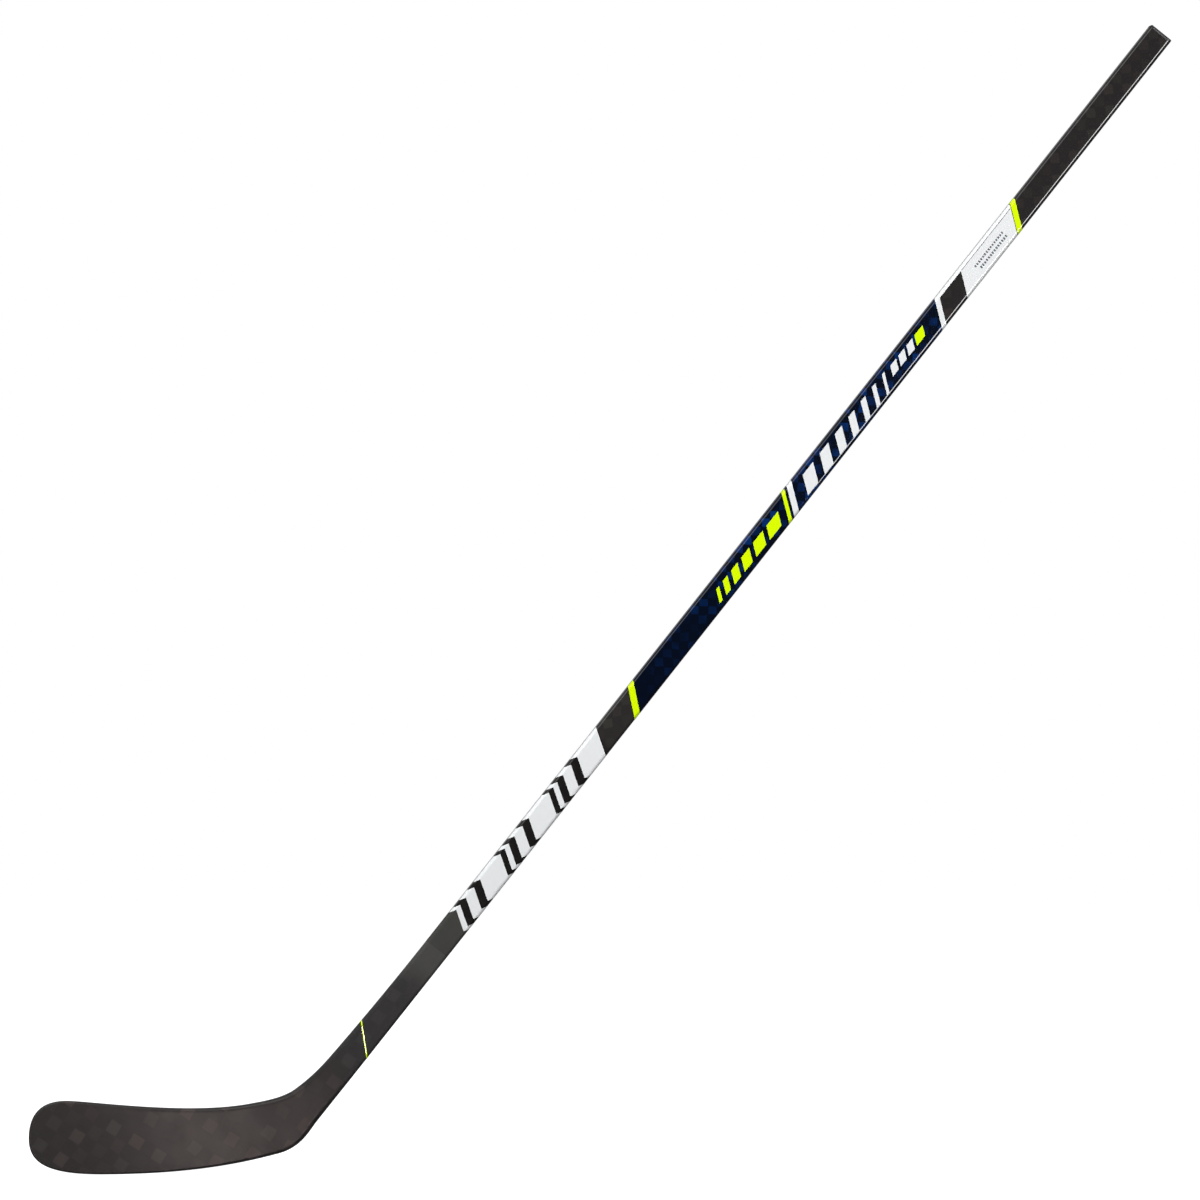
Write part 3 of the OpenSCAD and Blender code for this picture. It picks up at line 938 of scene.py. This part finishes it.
@dataclass(frozen=True)
class ShaftCarbon(Finish):
    """Carbon fabric of the shaft: glossy lacquer above, satin below the last large bar."""

    upper: TowLook = TowLook((0.0175, 0.0158, 0.0160), (0.027, 0.027, 0.0235),
                             (0.029, 0.0225, 0.0225), 11.0, 45.0, 0.5, 1.0)
    satin: TowLook = TowLook((0.053, 0.0525, 0.049), (0.059, 0.0585, 0.0545),
                             (0.053, 0.049, 0.0465), 14.2, 34.0, 0.3, 5.0)
    satin_from_mm: float = 1220.0
    lean: float = math.tan(math.radians(32.5))
    turn_mm: float = 10.4
    fold_back: float = 1.86
    edge_mm: float = 0.3
    gloss_roughness: float = 0.34
    satin_roughness: float = 0.46
    lift_mm: tuple[float, float] = (400.0, 700.0)
    lift: float = 1.3
    dim_mm: tuple[float, float] = (970.0, 988.0)
    dim: float = 0.4
    worn: Colour = (0.075, 0.072, 0.07)

    def _below_bars(self, g: Graph, places: bpy.types.NodeOutputs) -> Socket:
        """Gives 0 above the last large bar and 1 below it, along that bar's own edge."""
        held = g.math("MINIMUM", g.math("MAXIMUM", places["Across"], -self.turn_mm), self.turn_mm)
        past = g.math("SUBTRACT", places["Across"], held)
        shift = g.math("SUBTRACT", g.math("MULTIPLY", held, self.lean),
                       g.math("MULTIPLY", past, self.fold_back))
        start = g.math("SUBTRACT", places["Along"], shift)
        return g.between(start, self.satin_from_mm - self.edge_mm, self.satin_from_mm + self.edge_mm)

    def dress(self, g: Graph, shader: bpy.types.Node, places: bpy.types.NodeOutputs,
              effects: Effects) -> None:
        """Adds both weaves, the change of gloss, the fine lacquer relief and the corner rub."""
        satin = self._below_bars(g, places)
        _, gloss_colour = tow_colour(g, effects, places["Face"], self.upper)
        satin_tow, satin_colour = tow_colour(g, effects, places["Face"], self.satin)
        lift = g.between(places["Along"], *self.lift_mm, 1.0, self.lift)
        dim = g.between(places["Along"], *self.dim_mm, 1.0, self.dim)
        toned = g.scaled(gloss_colour, g.math("MULTIPLY", lift, dim))
        colour = g.blend(satin, toned, satin_colour)
        colour = self.rubbed(g, effects, places, 0.25, colour, self.worn)
        g.join(colour, shader.inputs["Base Color"])
        lacquer = g.place_group(effects.lacquer, Vector=places["Face"], Unevenness=0.06,
                                Roughness=self.gloss_roughness, Hairlines=0.2).outputs
        g.join(g.mix(satin, lacquer["Roughness"], self.satin_roughness), shader.inputs["Roughness"])
        g.join(g.between(satin, 0.0, 1.0, self.coat, 0.0, smooth=False),
               shader.inputs["Coat Weight"])
        height = g.math("ADD", g.math("MULTIPLY", satin_tow["Height"], satin), lacquer["Height"])
        self.relief(g, shader, height, 0.35)


def tow_colour(g: Graph, effects: Effects, vector: Socket, look: TowLook, contrast: object = 1.0
               ) -> tuple[bpy.types.NodeOutputs, Socket]:
    """Places a spread-tow weave and gives its outputs and its colour.

    Args:
        g: The material's graph.
        effects: The shared groups.
        vector: Place on the surface, in millimetres.
        look: How the fabric shows.
        contrast: How strongly its squares show, 0 to 1; a socket or a number.

    Returns:
        The weave's outputs, and the colour over the surface.
    """
    tow = g.place_group(effects.spread_tow, Vector=vector, Tow_Width=look.tow_mm, Turn=look.turn,
                        Second=look.second, Seed=look.seed).outputs
    varied = g.between(tow["Shade"], 0.05, 0.9, 0.15, 1.0)
    lit = g.math("MULTIPLY", g.math("MULTIPLY", tow["Square"], varied), contrast)
    fibre = g.math("MULTIPLY", g.math("SUBTRACT", tow["Fibre"], 0.5), look.fibre)
    lit = g.math("ADD", g.math("ADD", lit, fibre), look.floor, clamp=True)
    warmth = g.math("FRACT", g.math("MULTIPLY", tow["Shade"], 7.3))
    return tow, g.blend(lit, look.dark, g.blend(warmth, look.light, look.warm))


@dataclass(frozen=True)
class BladeCarbon(Finish):
    """Satin carbon of neck and blade, with soft light squares of spread tow."""

    look: TowLook = TowLook((0.0208, 0.0180, 0.0174), (0.040, 0.036, 0.034), (0.044, 0.033, 0.032),
                            14.2, 34.0, 0.3, 5.0)
    neck_roughness: float = 0.55
    neck_contrast: float = 0.35
    neck_ends_mm: tuple[float, float] = (1390.0, 1500.0)
    gloss_comes_mm: tuple[float, float] = (1400.0, 1500.0)
    joint_ends_mm: tuple[float, float] = (1282.0, 1318.0)
    neck_tint: Colour = (1.02, 1.12, 1.18)
    joint_tone: Colour = (0.049, 0.0483, 0.0452)

    def dress(self, g: Graph, shader: bpy.types.Node, places: bpy.types.NodeOutputs,
              effects: Effects) -> None:
        """Adds the weave in the blade's own plane, satin unevenness and a fine relief."""
        along = places["Along"]
        upright = g.add("VectorRotate", rotation_type="X_AXIS")
        g.join(g.scaled(g.add("TexCoord").outputs["Object"], PER_METRE), upright.inputs["Vector"])
        upright.inputs["Angle"].default_value = math.radians(-90.0)
        flat = g.vector("MULTIPLY", upright.outputs[0], (1.0, 1.0, 0.15)).outputs[0]
        contrast = g.between(along, *self.neck_ends_mm, self.neck_contrast, 1.0)
        tow, colour = tow_colour(g, effects, flat, self.look, contrast)
        cooler = g.vector("MULTIPLY", colour, self.neck_tint).outputs[0]
        colour = g.blend(g.between(along, *self.neck_ends_mm, 1.0, 0.0), colour, cooler)
        colour = g.blend(g.between(along, *self.joint_ends_mm, 1.0, 0.0), colour, self.joint_tone)
        g.join(colour, shader.inputs["Base Color"])
        rough = g.between(along, *self.gloss_comes_mm, self.neck_roughness, self.roughness)
        peel = self.lacquered(g, effects, shader, flat, 0.05, 0.25, rough)
        height = g.math("ADD", g.math("MULTIPLY", tow["Height"], 0.8), g.math("MULTIPLY", peel, 0.3))
        self.relief(g, shader, height, 0.5)


@dataclass(frozen=True)
class Ink(Finish):
    """One flat ink of the transfers, with its mottle and screen, under the lacquer."""

    colour: Colour = (0.8, 0.8, 0.8)
    shade: Colour = (0.7, 0.7, 0.7)
    mottle: float = 0.5

    def dress(self, g: Graph, shader: bpy.types.Node, places: bpy.types.NodeOutputs,
              effects: Effects) -> None:
        """Adds the ink's mottle, the lacquer and the faint corner rub."""
        grain = g.place_group(effects.print_grain, Vector=places["Face"], Mottle=1.0,
                              Screen=0.25).outputs
        tone = g.math("MULTIPLY", g.math("SUBTRACT", grain["Tone"], 1.0), self.mottle)
        tone = g.math("ADD", tone, 0.5, clamp=True)
        colour = g.blend(tone, self.shade, self.colour)
        colour = self.rubbed(g, effects, places, 0.2, colour, self.shade)
        g.join(colour, shader.inputs["Base Color"])
        peel = self.lacquered(g, effects, shader, places["Face"], 0.05, 0.2)
        self.relief(g, shader, peel, 0.3)


@dataclass(frozen=True)
class BlueWeave(Finish):
    """Blue tinted lacquer over spread tow: patches of blue that fade to blue-black lower down."""

    deep: Colour = (0.0006, 0.0026, 0.0098)
    bright: Colour = (0.001, 0.028, 0.15)
    worn: Colour = (0.02, 0.03, 0.06)
    tow_mm: float = 9.5
    fade_mm: tuple[float, float] = (690.0, 890.0)
    left: float = 0.16

    def dress(self, g: Graph, shader: bpy.types.Node, places: bpy.types.NodeOutputs,
              effects: Effects) -> None:
        """Adds the blue patches, their cloudiness, and the fade towards the lower stripe."""
        tow = g.place_group(effects.spread_tow, Vector=places["Face"], Tow_Width=self.tow_mm,
                            Turn=52.0, Second=0.9, Waver=1.3, Seed=11.0).outputs
        cloud = g.between(g.noise(places["Face"], 0.03, 2.0)["Fac"], 0.36, 0.66)
        lit = g.math("MULTIPLY", tow["Square"], g.math("MULTIPLY_ADD", tow["Shade"], 0.8, 0.2))
        lit = g.math("MULTIPLY", lit, g.math("MULTIPLY_ADD", cloud, 0.8, 0.2))
        fade = g.between(places["Along"], *self.fade_mm, 1.0, self.left, smooth=False)
        lit = g.math("MULTIPLY", lit, fade)
        lit = g.math("ADD", lit, g.math("MULTIPLY", g.math("SUBTRACT", tow["Fibre"], 0.5), 0.12),
                     clamp=True)
        colour = g.blend(lit, self.deep, self.bright)
        colour = self.rubbed(g, effects, places, 0.15, colour, self.worn)
        g.join(colour, shader.inputs["Base Color"])
        peel = self.lacquered(g, effects, shader, places["Face"], 0.05, 0.2)
        self.relief(g, shader, peel, 0.3)


@dataclass(frozen=True)
class Moulded(Finish):
    """A moulded or poured inner material: a base colour, a second tone, and its grain."""

    colour: Colour = (0.1, 0.1, 0.1)
    second: Colour = (0.05, 0.05, 0.05)
    grain_mm: float = 1.0
    cells: bool = False

    def dress(self, g: Graph, shader: bpy.types.Node, places: bpy.types.NodeOutputs,
              effects: Effects) -> None:
        """Adds cells for a foam, or a fine stipple for a moulding, in colour and relief."""
        here = g.scaled(g.add("TexCoord").outputs["Object"], 1.0 / (self.grain_mm * MM))
        if self.cells:
            pattern = g.add("TexVoronoi", feature="DISTANCE_TO_EDGE")
            value = g.between(pattern.outputs["Distance"], 0.02, 0.28)
        else:
            pattern = g.add("TexNoise")
            g.join(3.0, pattern.inputs["Detail"])
            value = g.between(pattern.outputs["Fac"], 0.35, 0.65)
        g.join(here, pattern.inputs["Vector"])
        g.join(1.0, pattern.inputs["Scale"])
        g.join(g.blend(value, self.second, self.colour), shader.inputs["Base Color"])
        self.lacquered(g, effects, shader, places["Face"], 0.1, 0.0)
        self.relief(g, shader, value, 0.6)


UNDER_LACQUER = {"roughness": 0.4, "coat": 1.0, "coat_roughness": 0.07, "specular": 0.0}
FINISHES: dict[Slot, Finish] = {
    Slot.CARBON_GLOSS: ShaftCarbon("Lacquered shaft carbon", **UNDER_LACQUER),
    Slot.CARBON_MATTE: BladeCarbon("Satin blade carbon", roughness=0.4, specular=0.5),
    Slot.CARBON_RAW: Moulded("Raw moulded carbon", roughness=0.5, colour=(0.03, 0.03, 0.03),
                             second=(0.012, 0.012, 0.012), grain_mm=2.0),
    Slot.PLUG: Moulded("End plug plastic", roughness=0.42, colour=(0.022, 0.021, 0.021),
                       second=(0.013, 0.0125, 0.0125), grain_mm=0.7),
    Slot.HOT_MELT: Moulded("Hot-melt glue", roughness=0.35, colour=(0.62, 0.54, 0.36),
                           second=(0.48, 0.4, 0.24), grain_mm=4.0),
    Slot.INSERT: Moulded("Chopped-fibre moulding", roughness=0.5, colour=(0.1, 0.095, 0.09),
                         second=(0.05, 0.047, 0.045), grain_mm=3.0),
    Slot.EPOXY: Moulded("Cured epoxy", roughness=0.2, colour=(0.55, 0.44, 0.22),
                        second=(0.42, 0.31, 0.13), grain_mm=5.0),
    Slot.FOAM_DENSE: Moulded("Dense neck foam", roughness=0.75, colour=(0.66, 0.6, 0.46),
                             second=(0.4, 0.35, 0.24), grain_mm=0.8, cells=True, bump_mm=0.15),
    Slot.FOAM_LIGHT: Moulded("Light blade foam", roughness=0.8, colour=(0.78, 0.74, 0.62),
                             second=(0.5, 0.46, 0.36), grain_mm=1.1, cells=True, bump_mm=0.2),
    Slot.FOAM_GREEN: Moulded("Soft blade foam", roughness=0.8, colour=(0.5, 0.58, 0.46),
                             second=(0.3, 0.36, 0.27), grain_mm=1.3, cells=True, bump_mm=0.2),
    Slot.NEON: Ink("Neon yellow ink", **UNDER_LACQUER, colour=(0.72, 0.97, 0.0),
                   shade=(0.64, 0.90, 0.0)),
    Slot.WHITE: Ink("White ink", **UNDER_LACQUER, colour=(0.825, 0.84, 0.845),
                    shade=(0.735, 0.752, 0.765)),
    Slot.GREY: Ink("Grey ink", **UNDER_LACQUER, colour=(0.17, 0.18, 0.20),
                   shade=(0.12, 0.13, 0.15)),
    Slot.BLUE: BlueWeave("Blue tinted weave", **UNDER_LACQUER),
}


class Wardrobe:
    """Makes each finish's material once and puts it on pieces."""

    def __init__(self, effects: Effects) -> None:
        """Keeps the shared groups that the finishes draw on."""
        self.effects = effects
        self.made: dict[Slot, bpy.types.Material] = {}

    def material(self, slot: Slot) -> bpy.types.Material:
        """Gives the material of a slot, made at its first use."""
        if slot not in self.made:
            self.made[slot] = FINISHES[slot].build(self.effects)
        return self.made[slot]

    def put_on(self, thing: bpy.types.Object, slot: Slot) -> None:
        """Gives a piece the finish of a slot, in place of any other."""
        thing.data.materials.clear()
        thing.data.materials.append(self.material(slot))


# ---------------------------------------------------------------------------
# Sub-assemblies
# ---------------------------------------------------------------------------


@dataclass
class CarriedNodes:
    """The CAD nodes whose shape is shown as it is, with the finish that the record gives each."""

    nodes: dict[str, bpy.types.Object]
    record: dict
    replaced: tuple[str, ...]

    def dress(self, wardrobe: Wardrobe) -> None:
        """Puts its finish on each carried node.

        Args:
            wardrobe: Where the materials come from.
        """
        slots = {s["node"]: Slot(s["material_slot"]) for s in self.record["subparts"]}
        for name in sorted(self.nodes):
            if name in self.replaced:
                continue
            wardrobe.put_on(self.nodes[name], slots[name])
            log.info("%s: CAD node, finish %s", name, slots[name].value)


@dataclass
class BladeShell:
    """The carbon shell of neck and blade: a front skin, a back skin and the edge wrap round them.

    Attributes:
        form: The moulded form.
        cells: Cells across each skin from the top seam to the bottom seam.
    """

    form: BladeForm
    cells: int = 26

    def _skin(self, front: bool) -> Facets:
        """Builds one face skin as a closed sheet.

        Args:
            front: True for the forehand face.

        Returns:
            The skin's facets.
        """
        f = self.form
        part = Facets()
        share = np.linspace(0, 1, self.cells + 1)
        stations = np.arange(f.tip)
        top, low = f.seam[stations], f.seam[f.last - stations]
        flat = top[:, None] * (1 - share)[None, :, None] + low[:, None] * share[None, :, None]
        half = (f.thick[stations] / 2)[:, None] * np.ones_like(share)[None]
        side = -1.0 if front else 1.0
        outer = f.place(flat, side * half)
        inner = f.place(flat, side * (half - f.skin_mm))
        part.sheet(outer, outside=True, flip=not front)
        part.sheet(inner, outside=False, flip=front)
        for a, b, turn in ((outer[:, 0], inner[:, 0], front), (outer[:, -1], inner[:, -1], not front),
                           (outer[0], inner[0], not front), (outer[-1], inner[-1], front)):
            part.sheet(np.stack([a, b], 1), outside=False, flip=turn)
        return part

    def _wrap(self) -> Facets:
        """Builds the edge wrap as one closed strip round top edge, toe and bottom edge."""
        f = self.form
        part = Facets()
        rings = np.stack([f.profile(k) for k in range(f.last + 1)])
        part.sheet(rings, outside=True, flip=True)
        part.sheet(np.stack([rings[:, -1], rings[:, 0]], 1), outside=False, flip=True)
        part.cap(rings[0], flip=False)
        part.cap(rings[-1], flip=True)
        return part

    def build(self, wardrobe: Wardrobe) -> list[bpy.types.Object]:
        """Builds and dresses the three pieces.

        Args:
            wardrobe: Where the materials come from.

        Returns:
            The pieces.
        """
        parts = {
            "forehand_face": (self._skin(True), "blade_skin_front"),
            "backhand_face": (self._skin(False), "blade_skin_back"),
            "rounded_edge": (self._wrap(), "blade_edge_wrap"),
        }
        shared = outside_normals([part for part, _ in parts.values()])
        pieces = []
        for name, (part, node) in parts.items():
            piece = make_mesh(name, part, shared)
            wardrobe.put_on(piece, Slot.CARBON_MATTE)
            pieces.append(announce(piece, Slot.CARBON_MATTE, node))
        return pieces


@dataclass
class NeckLine:
    """The fine neon line printed slantwise round the neck.

    Attributes:
        form: The moulded form that the line lies on.
        from_ice_mm: Where it crosses the centre line, measured up from the ice.
        width_mm: Its width along the shaft.
        slant: Its lean away from square across, in degrees.
        film_mm: Its thickness.
        first: The first station looked at.
        final: The last station looked at.
    """

    form: BladeForm
    from_ice_mm: float = 180.0
    width_mm: float = 1.9
    slant: float = 43.0
    film_mm: float = 0.12
    first: int = 12
    final: int = 32

    def _ring(self, station: int, grow_mm: float) -> np.ndarray:
        """Gives the neck's outline at a station as a closed ring of points."""
        f = self.form
        top, low = f.profile(station, grow_mm), f.profile(f.last - station, grow_mm)
        return np.vstack([top, low[::-1]])

    def _crossing(self, rings: np.ndarray, down_mm: float) -> np.ndarray:
        """Finds where each lengthwise line of the neck meets a slanted cut.

        Args:
            rings: Stations by ring points by 3.
            down_mm: Distance down from the butt at which the cut crosses the centre line.

        Returns:
            One point for each lengthwise line.
        """
        along, across = self.form.shaft_mm(rings)
        level = along - across * math.tan(math.radians(self.slant)) - down_mm
        found = []
        for i in range(rings.shape[1]):
            k = int(np.argmax(level[:, i] > 0))
            a, b = level[k - 1, i], level[k, i]
            share = -a / (b - a)
            found.append(rings[k - 1, i] * (1 - share) + rings[k, i] * share)
        return np.array(found)

    def build(self, wardrobe: Wardrobe) -> bpy.types.Object:
        """Builds and dresses the line.

        Args:
            wardrobe: Where the material comes from.

        Returns:
            The piece.
        """
        f = self.form
        middle = f.straight_mm + f.neck_mm - self.from_ice_mm
        part = Facets()
        grids = []
        for grow in (0.0, self.film_mm):
            rings = np.stack([self._ring(k, grow) for k in range(self.first, self.final + 1)])
            edges = [self._crossing(rings, middle + side * self.width_mm / 2) for side in (-1, 1)]
            closed = [np.vstack([e, e[:1]]) for e in edges]
            grids.append(np.stack(closed, 1))
        outer, inner = part.add_grid(grids[1]), part.add_grid(grids[0])
        for ids in (outer, inner):
            ids[-1] = ids[0]
        part.skin(outer, outside=True, flip=True)
        part.skin(inner, outside=False)
        part.skin(np.stack([outer[:, 0], inner[:, 0]], 1), outside=False)
        part.skin(np.stack([outer[:, 1], inner[:, 1]], 1), outside=False, flip=True)
        piece = make_mesh("neck_line", part)
        drop_loose(piece)
        wardrobe.put_on(piece, Slot.NEON)
        return announce(piece, Slot.NEON, "heel_line")


def drop_loose(thing: bpy.types.Object) -> None:
    """Removes points that no face uses, keeping the normals of the rest."""
    used = {i for p in thing.data.polygons for i in p.vertices}
    if len(used) == len(thing.data.vertices):
        return
    work = bmesh.new()
    work.from_mesh(thing.data)
    bmesh.ops.delete(work, geom=[v for v in work.verts if not v.link_faces], context="VERTS")
    work.to_mesh(thing.data)
    work.free()


# ---------------------------------------------------------------------------
# Studio
# ---------------------------------------------------------------------------


class Seen(Enum):
    """What a light adds to: the diffuse light or the reflections."""

    DIFFUSE = "diffuse"
    SHEEN = "sheen"


@dataclass(frozen=True)
class SoftLight:
    """A soft panel of light, aimed at a point on the stick.

    Attributes:
        name: The light's name.
        turn: Its direction from the target, 0 towards the viewer and + to the right.
        rise: Its height above the target, in degrees.
        reach: Its distance, in metres.
        size: Its width and height, in metres.
        power: Its power, in watts.
        roll: Its turn about its own axis, in degrees.
        down: Where it aims, as a share of the shaft from butt to blade.
        seen_in: Whether it shows in the diffuse light or in reflections.
        tint: Its colour.
    """

    name: str
    turn: float
    rise: float
    reach: float
    size: tuple[float, float]
    power: float
    roll: float = 0.0
    down: float = 0.5
    seen_in: Seen = Seen.DIFFUSE
    tint: Colour = (1.0, 1.0, 1.0)


@dataclass
class Studio:
    """A plain pale floor, an even pale surround, soft lights and the camera."""

    low: Vector
    high: Vector
    axes: ShaftAxes
    lens: float = 150.0
    sensor: float = 36.0
    frame_width: float = 1.2976
    turn: float = -3.1
    rise: float = 2.5
    roll: float = 0.092
    aim_x: float = -0.6067
    aim_z: float = -0.61386
    surround: float = 0.04
    backdrop: float = 0.8
    sheen_share: float = 0.3
    floor_radius: float = 3.2
    floor_fade: tuple[float, float] = (0.35, 0.95)
    floor_glow: float = 0.93
    shaft_long: float = 1.5
    lights: tuple[SoftLight, ...] = (
        SoftLight("Key panel", -30.0, 35.0, 3.4, (2.4, 1.8), 146.0, down=0.65),
        SoftLight("Fill panel", 35.0, 0.0, 3.4, (1.8, 2.4), 34.0, down=0.7),
        SoftLight("Outer edge strip", 19.5, -6.0, 0.9, (0.26, 0.9), 13.5, -38.3, 0.16, Seen.SHEEN),
        SoftLight("Inner edge strip", -45.0, 29.0, 1.2, (0.75, 1.5), 7.0, -38.3, 0.3, Seen.SHEEN),
        SoftLight("Blade panel", 4.8, -8.7, 3.0, (0.7, 0.45), 17.5, 0.0, 1.03, Seen.SHEEN,
                  (1.08, 0.9, 0.88)),
    )

    def _looking(self, target: Vector, turn: float, rise: float, roll: float, reach: float
                 ) -> Matrix:
        """Places something that looks at a target.

        Args:
            target: What it looks at.
            turn: Its direction from the target, 0 towards the viewer and + to the right.
            rise: Its height above the target, in degrees.
            roll: Its turn about its own axis, in degrees.
            reach: Its distance, in metres.

        Returns:
            Its place in the world.
        """
        a, e = math.radians(turn), math.radians(rise)
        way = Vector((math.sin(a) * math.cos(e), -math.cos(a) * math.cos(e), math.sin(e)))
        facing = way.to_track_quat("Z", "Y").to_matrix().to_4x4()
        spin = Matrix.Rotation(math.radians(roll), 4, way)
        return Matrix.Translation(target + way * reach) @ spin @ facing

    def _surround(self) -> None:
        """Makes the surround: plain white as a background, a pale backdrop and a dim room."""
        world = bpy.data.worlds.new("Pale surround")
        world.use_nodes = True
        g = Graph(world.node_tree)
        world.node_tree.nodes.clear()
        seen, dim = g.add("Background"), g.add("Background")
        seen.inputs["Color"].default_value = (1.0, 1.0, 1.0, 1.0)
        dim.inputs["Color"].default_value = (0.98, 0.99, 1.0, 1.0)
        way = g.add("SeparateXYZ")
        g.join(g.add("TexCoord").outputs["Generated"], way.inputs[0])
        behind = g.between(way.outputs["Y"], -0.15, 0.5, 0.0, self.backdrop)
        path = g.add("LightPath").outputs
        share = g.math("MULTIPLY_ADD", path["Is Glossy Ray"], self.sheen_share - 1.0, 1.0)
        g.join(g.math("MULTIPLY_ADD", behind, share, self.surround), dim.inputs["Strength"])
        mix, output = g.add("MixShader"), g.add("OutputWorld")
        g.join(path["Is Camera Ray"], mix.inputs[0])
        g.join(dim.outputs[0], mix.inputs[1])
        g.join(seen.outputs[0], mix.inputs[2])
        g.join(mix.outputs[0], output.inputs["Surface"])
        bpy.context.scene.world = world

    def _floor(self) -> None:
        """Makes a round pale floor under the blade, fading into the surround at its rim."""
        rings, spokes = 24, 96
        radii = self.floor_radius * np.linspace(0, 1, rings + 1)[1:]
        turn = np.linspace(0, 2 * math.pi, spokes, endpoint=False)
        centre = (self.low + self.high) / 2
        points = [(centre.x, centre.y, self.low.z)]
        points += [(centre.x + r * math.cos(a), centre.y + r * math.sin(a), self.low.z)
                   for r in radii for a in turn]
        faces = [(0, 1 + s, 1 + (s + 1) % spokes) for s in range(spokes)]
        for r in range(rings - 1):
            a, b = 1 + r * spokes, 1 + (r + 1) * spokes
            faces += [(a + s, b + s, b + (s + 1) % spokes, a + (s + 1) % spokes)
                      for s in range(spokes)]
        mesh = bpy.data.meshes.new("studio_floor")
        mesh.from_pydata(points, [], faces)
        floor = bpy.data.objects.new("studio_floor", mesh)
        bpy.context.scene.collection.objects.link(floor)
        floor.visible_glossy = False
        floor.visible_diffuse = False
        material = bpy.data.materials.new("Pale floor")
        material.use_nodes = True
        material.node_tree.nodes.clear()
        g = Graph(material.node_tree)
        shader, output = g.add("BsdfPrincipled"), g.add("OutputMaterial")
        g.join(shader.outputs[0], output.inputs["Surface"])
        shader.inputs["Base Color"].default_value = (0.45, 0.452, 0.455, 1.0)
        shader.inputs["Roughness"].default_value = 0.9
        shader.inputs["Specular IOR Level"].default_value = 0.0
        shader.inputs["Emission Color"].default_value = (1.0, 1.0, 1.0, 1.0)
        shader.inputs["Emission Strength"].default_value = self.floor_glow
        here = g.add("TexCoord").outputs["Object"]
        offset = g.vector("SUBTRACT", here, (centre.x, centre.y, self.low.z))
        away = g.vector("LENGTH", offset.outputs[0]).outputs["Value"]
        fade = (share * self.floor_radius for share in self.floor_fade)
        g.join(g.between(away, *fade, 1.0, 0.0), shader.inputs["Alpha"])
        mesh.materials.append(material)
        floor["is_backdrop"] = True

    def _light(self, panel: SoftLight) -> None:
        """Hangs one light."""
        data = bpy.data.lights.new(panel.name, "AREA")
        data.shape = "RECTANGLE"
        data.size, data.size_y = panel.size
        data.energy = panel.power
        data.color = panel.tint
        lamp = bpy.data.objects.new(panel.name, data)
        target = -self.axes.up * (self.shaft_long * panel.down)
        lamp.matrix_world = self._looking(target, panel.turn, panel.rise, panel.roll, panel.reach)
        lamp.visible_camera = False
        lamp.visible_diffuse = panel.seen_in is not Seen.SHEEN
        lamp.visible_glossy = panel.seen_in is not Seen.DIFFUSE
        bpy.context.scene.collection.objects.link(lamp)

    def _camera(self) -> None:
        """Sets the camera: a long lens, a little to the left of and above square on."""
        data = bpy.data.cameras.new("Camera")
        data.lens, data.sensor_width = self.lens, self.sensor
        data.clip_end = 100.0
        camera = bpy.data.objects.new("Camera", data)
        away = self.frame_width / 2 / (self.sensor / 2 / self.lens)
        target = Vector((self.aim_x, 0.0, self.aim_z))
        camera.matrix_world = self._looking(target, self.turn, self.rise, self.roll, away)
        bpy.context.scene.collection.objects.link(camera)
        bpy.context.scene.camera = camera

    def build(self) -> None:
        """Sets up surround, floor, lights and camera."""
        bpy.context.scene.view_settings.view_transform = "Standard"
        self._surround()
        self._floor()
        for panel in self.lights:
            self._light(panel)
        self._camera()
        log.info("studio: %d lights, floor at %.4f m", len(self.lights), self.low.z)


def main() -> None:
    """Builds the stick's looks, and the studio with its floor placed from the CAD model's bounds."""
    logging.basicConfig(level=logging.INFO, format="%(name)s: %(message)s")
    cad_low, cad_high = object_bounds()
    axes = ShaftAxes.from_record(frame["record"])
    wardrobe = Wardrobe(Effects(axes))
    form = BladeForm(axes)
    replaced = ("blade_skin_front", "blade_skin_back", "blade_edge_wrap", "heel_line")
    CarriedNodes(frame["nodes"], frame["record"], replaced).dress(wardrobe)
    BladeShell(form).build(wardrobe)
    NeckLine(form).build(wardrobe)
    Studio(cad_low, cad_high, axes).build()


if __name__ == "__main__":
    main()
